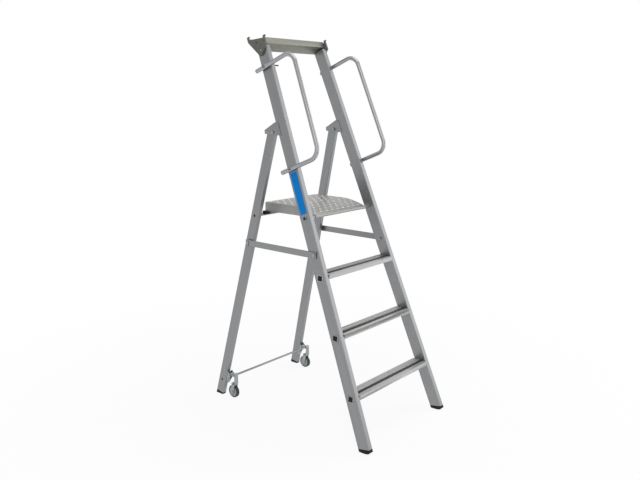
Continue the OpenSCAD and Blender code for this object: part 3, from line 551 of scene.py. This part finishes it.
# Rear frame: two rectangular aluminium legs that hang from the gussets and lean the other way from the
# stiles. A tube under the platform joins them, with rubber rests on it and a bung in each end.
# A small rivet shows near the top of each leg.
LEG_LEAN = math.radians(14.04)
LEG_SPLAY = math.radians(2.76)
LEG_TURN = (LEG_LEAN, LEG_SPLAY, 0.0)
TUBE_EDGE = 0.0004
PAD_EDGE = 0.0014
BUNG_RADIUS, BUNG_HEIGHT = 0.0058, 0.0008
RIVET_RADIUS, RIVET_HEIGHT = 0.0036, 0.0012
LEG_RIVET = (0.2239, 0.1626, 1.183)
leg_finish = drawn_alloy("leg_alloy", LEG_TURN, SATIN_DARK, SATIN_LIGHT)
dress(leg_finish, "left_rear_leg", "right_rear_leg")
cross_finish = drawn_alloy("cross_alloy", ACROSS, SATIN_DARK, SATIN_LIGHT)
eased(cross_finish, TUBE_EDGE, "rear_cross_tube")
eased(foot_finish, PAD_EDGE, "platform_rest_pads", segments=3)
tube_end = right_end("rear_cross_tube")
domes("cross_tube_bungs", tube_end, BUNG_RADIUS, BUNG_HEIGHT, foot_finish, "rear_frame")
domes("leg_rivets", LEG_RIVET, RIVET_RADIUS, RIVET_HEIGHT, zinc_finish, "rear_frame")

# Struts: flat aluminium bars that pivot on the stiles and hook over studs on the legs.
# They are cut from bar, with their edges broken by hand.
ALONG = (math.radians(90), 0.0, 0.0)
STRUT_EDGE = 0.0024
HOOK_STUD_EDGE = 0.001
strut_finish = drawn_alloy("strut_alloy", ALONG, SATIN_DARK, SATIN_LIGHT)
eased(strut_finish, STRUT_EDGE, "left_strut", "right_strut", segments=3, away=0.0)
eased(zinc_finish, HOOK_STUD_EDGE, "strut_hook_studs", segments=3)

# Castor frame: zinc plated brackets bolted to the legs, with sprung arms that a cross rod ties together.
# The brackets and arms are folded from plate, with rounded edges. A dark button shows on each leg's
# outer face.
BRACKET_EDGE = 0.0007
PIVOT_PIN_EDGE = 0.0009
CROSS_ROD_EDGE = 0.0009
LEG_BUTTON = (0.2771, 0.4384, 0.0802)
eased(zinc_finish, BRACKET_EDGE, "left_castor_bracket", "right_castor_bracket")
eased(zinc_finish, BRACKET_EDGE, "left_castor_arm", "right_castor_arm")
eased(zinc_finish, PIVOT_PIN_EDGE, "castor_pivot_pins", "bracket_bolts", segments=3)
eased(cross_finish, CROSS_ROD_EDGE, "castor_cross_rod", segments=3)
domes("leg_buttons", LEG_BUTTON, BUTTON_RADIUS, BUTTON_HEIGHT, plug_finish, "rear_frame")

# Castors: swivel forks of zinc plated plate, with riveted axles.
# Each carries a grey plastic hub with a hard dark tyre, both turned to a rounded section.
FORK_EDGE = 0.0006
AXLE_EDGE = 0.0007
HUB_DARK = (0.3, 0.32, 0.325, 1.0)
HUB_LIGHT = (0.4, 0.42, 0.425, 1.0)
HUB_ROUGH = 0.4
TYRE_DARK = (0.008, 0.009, 0.012, 1.0)
TYRE_LIGHT = (0.02, 0.022, 0.027, 1.0)
TYRE_ROUGH = 0.55
WHEEL_HALF = 0.009
WHEEL_STEPS = 72
WHEEL_SHARP = 25.0
SEAM_GAP = 0.00001
HUB_HALF_SECTION = (
    (0.0, 0.00315),
    (0.0, 0.0066),
    (0.0006, 0.0072),
    (0.002, 0.0076),
    (0.0022, 0.0125),
    (0.0012, 0.0133),
    (0.0012, 0.0145),
    (0.0022, 0.0153),
    (0.0024, 0.0206),
    (0.0006, 0.0214),
    (0.0, 0.0222),
    (0.0, 0.0246),
)
TYRE_HALF_SECTION = (
    (0.0, 0.0252),
    (0.0, 0.0272),
    (0.0006, 0.0288),
    (0.0018, 0.0301),
    (0.0036, 0.0308),
    (0.0072, 0.031),
    (0.0086, 0.0309),
    (0.009, 0.0306),
)


def turned(name, half_section, finish, wheel):
    """Spins half a wheel's section, from its face inwards, and mirrors it to the other face."""
    low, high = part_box(wheel)
    middle = [(a + b) / 2 for a, b in zip(low, high)]
    shape = bmesh.new()
    rim = [shape.verts.new((inward - WHEEL_HALF, 0.0, radius)) for inward, radius in half_section]
    for first, second in zip(rim, rim[1:]):
        shape.edges.new((first, second))
    bmesh.ops.mirror(shape, geom=shape.verts[:] + shape.edges[:], axis="X", merge_dist=SEAM_GAP)
    ends = [vert for vert in shape.verts if len(vert.link_edges) == 1]
    for radius in (half_section[0][1], half_section[-1][1]):
        pair = [vert for vert in ends if abs(vert.co.z - radius) < SEAM_GAP]
        if len(pair) == 2:
            shape.edges.new(pair)
    bmesh.ops.spin(
        shape,
        geom=shape.verts[:] + shape.edges[:],
        cent=(0.0, 0.0, 0.0),
        axis=(1.0, 0.0, 0.0),
        angle=math.tau,
        steps=WHEEL_STEPS,
        use_merge=True,
    )
    bmesh.ops.remove_doubles(shape, verts=shape.verts, dist=SEAM_GAP)
    bmesh.ops.recalc_face_normals(shape, faces=shape.faces)
    bmesh.ops.translate(shape, vec=middle, verts=shape.verts)
    piece = finished(name, shape, finish, body_of(wheel), WHEEL_SHARP)
    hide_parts(wheel)


eased(zinc_finish, FORK_EDGE, "left_castor_fork", "right_castor_fork")
eased(zinc_finish, AXLE_EDGE, "left_castor_axle", "right_castor_axle", segments=3)
hub_finish = moulding("hub_plastic", HUB_DARK, HUB_LIGHT, HUB_ROUGH)
tyre_finish = rubber("tyre_rubber", TYRE_DARK, TYRE_LIGHT, TYRE_ROUGH)
turned("left_hub", HUB_HALF_SECTION, hub_finish, "left_castor_wheel")
turned("right_hub", HUB_HALF_SECTION, hub_finish, "right_castor_wheel")
turned("left_tyre", TYRE_HALF_SECTION, tyre_finish, "left_castor_tyre")
turned("right_tyre", TYRE_HALF_SECTION, tyre_finish, "right_castor_tyre")

# Floor: a pale sheet that takes the shadow near the feet and goes white further out.
# The camera sees mostly its white, metal mirrors it a little brighter, and other light meets plain paint.
FLOOR_HALF = 12.0
FLOOR_PAINT = (0.9, 0.9, 0.9, 1.0)
WHITE = (1.0, 1.0, 1.0, 1.0)
FLOOR_SEEN, FLOOR_MIRRORED = 1.0, 1.25
FADE_NEAR, FADE_FAR = 0.5, 2.2
FADE_LEAST, FADE_MOST = 0.9, 1.0


def combined(finish, operation, first, first_output, second, second_output):
    """Adds a node that works out one value from two others."""
    made = node_of(finish, "Math")
    made.operation = operation
    join(finish, first, first_output, made, 0)
    join(finish, second, second_output, made, 1)
    return made


floor_mesh = bpy.data.meshes.new("floor")
floor_shape = bmesh.new()
bmesh.ops.create_grid(floor_shape, x_segments=1, y_segments=1, size=FLOOR_HALF)
floor_shape.to_mesh(floor_mesh)
floor_shape.free()
floor = bpy.data.objects.new("floor", floor_mesh)
bpy.context.scene.collection.objects.link(floor)
floor_finish = bpy.data.materials.new("pale_floor")
floor_finish.use_nodes = True
floor_nodes = floor_finish.node_tree.nodes
floor_nodes.remove(floor_nodes["Principled BSDF"])
floor_place = node_of(floor_finish, "TexCoord")
floor_far = node_of(floor_finish, "VectorMath")
floor_far.operation = "LENGTH"
join(floor_finish, floor_place, "Object", floor_far, "Vector")
floor_fade = node_of(
    floor_finish, "MapRange", From_Min=FADE_NEAR, From_Max=FADE_FAR, To_Min=FADE_LEAST, To_Max=FADE_MOST
)
join(floor_finish, floor_far, "Value", floor_fade, "Value")
floor_path = node_of(floor_finish, "LightPath")
floor_seen = combined(floor_finish, "MULTIPLY", floor_path, "Is Camera Ray", floor_fade, "Result")
floor_share = combined(floor_finish, "MAXIMUM", floor_seen, "Value", floor_path, "Is Glossy Ray")
floor_glow = node_of(floor_finish, "MapRange", To_Min=FLOOR_SEEN, To_Max=FLOOR_MIRRORED)
join(floor_finish, floor_path, "Is Glossy Ray", floor_glow, "Value")
floor_paint = node_of(floor_finish, "BsdfDiffuse", Color=FLOOR_PAINT)
floor_white = node_of(floor_finish, "Emission", Color=WHITE)
join(floor_finish, floor_glow, "Result", floor_white, "Strength")
floor_mix = node_of(floor_finish, "MixShader")
join(floor_finish, floor_share, "Value", floor_mix, 0)
join(floor_finish, floor_paint, "BSDF", floor_mix, 1)
join(floor_finish, floor_white, "Emission", floor_mix, 2)
join(floor_finish, floor_mix, "Shader", floor_nodes["Material Output"], "Surface")
floor_mesh.materials.append(floor_finish)

# Room: plain white all round, as the camera and the metal's reflections see it.
# It lights the object at half that strength, so that the lamps model its shapes.
ROOM_LIGHT, ROOM_SEEN = 0.5, 1.0
world = bpy.data.worlds.new("studio")
bpy.context.scene.world = world
world.use_nodes = True
room = world.node_tree.nodes["Background"]
room.inputs["Color"].default_value = WHITE
room_path = node_of(world, "LightPath")
room_seen = combined(world, "MAXIMUM", room_path, "Is Camera Ray", room_path, "Is Glossy Ray")
room_all = combined(world, "MAXIMUM", room_seen, "Value", room_path, "Is Transmission Ray")
room_level = node_of(world, "MapRange", To_Min=ROOM_LIGHT, To_Max=ROOM_SEEN)
join(world, room_all, "Value", room_level, "Value")
join(world, room_level, "Result", room, "Strength")


# Lamps: three large soft boxes that shine at the object, or level over its head.
# The broadest stands at the front right, a tall one by the eye, and the third hangs overhead.
def soft_lamp(name, place, aim, wide, tall, watts):
    """A rectangular area lamp that points at a place."""
    lamp = bpy.data.lights.new(name, "AREA")
    lamp.shape = "RECTANGLE"
    lamp.size = wide
    lamp.size_y = tall
    lamp.energy = watts
    holder = bpy.data.objects.new(name, lamp)
    holder.location = place
    holder.rotation_euler = (Vector(aim) - Vector(place)).to_track_quat("-Z", "Y").to_euler()
    bpy.context.scene.collection.objects.link(holder)


soft_lamp("front_right_lamp", place=(3.0, -2.4, 1.9), aim=(0.0, 0.0, 1.0), wide=3.6, tall=3.6, watts=58.0)
soft_lamp("eye_lamp", place=(-2.95, -2.5, 2.5), aim=(0.0, 0.0, 2.5), wide=1.4, tall=3.4, watts=36.0)
soft_lamp("overhead_lamp", place=(0.2, -0.4, 4.2), aim=(0.0, 0.0, 0.8), wide=2.6, tall=2.6, watts=45.0)

# Camera: a person's eye height, off the front left corner, with no shift.
# Its place, turn and lens are those of a camera fitted to the lines of the stiles, legs and treads.
CAMERA_PLACE = (-2.4134, -2.0394, 1.4402)
CAMERA_TILT = math.radians(78.436)
CAMERA_HEADING = math.radians(-49.218)
CAMERA_SENSOR = 36.0
CAMERA_LENS = 39.377
camera_data = bpy.data.cameras.new("camera")
camera_data.sensor_width = CAMERA_SENSOR
camera_data.lens = CAMERA_LENS
camera = bpy.data.objects.new("camera", camera_data)
camera.location = CAMERA_PLACE
camera.rotation_euler = (CAMERA_TILT, 0.0, CAMERA_HEADING)
bpy.context.scene.collection.objects.link(camera)
bpy.context.scene.camera = camera
bpy.context.scene.view_settings.view_transform = "Standard"
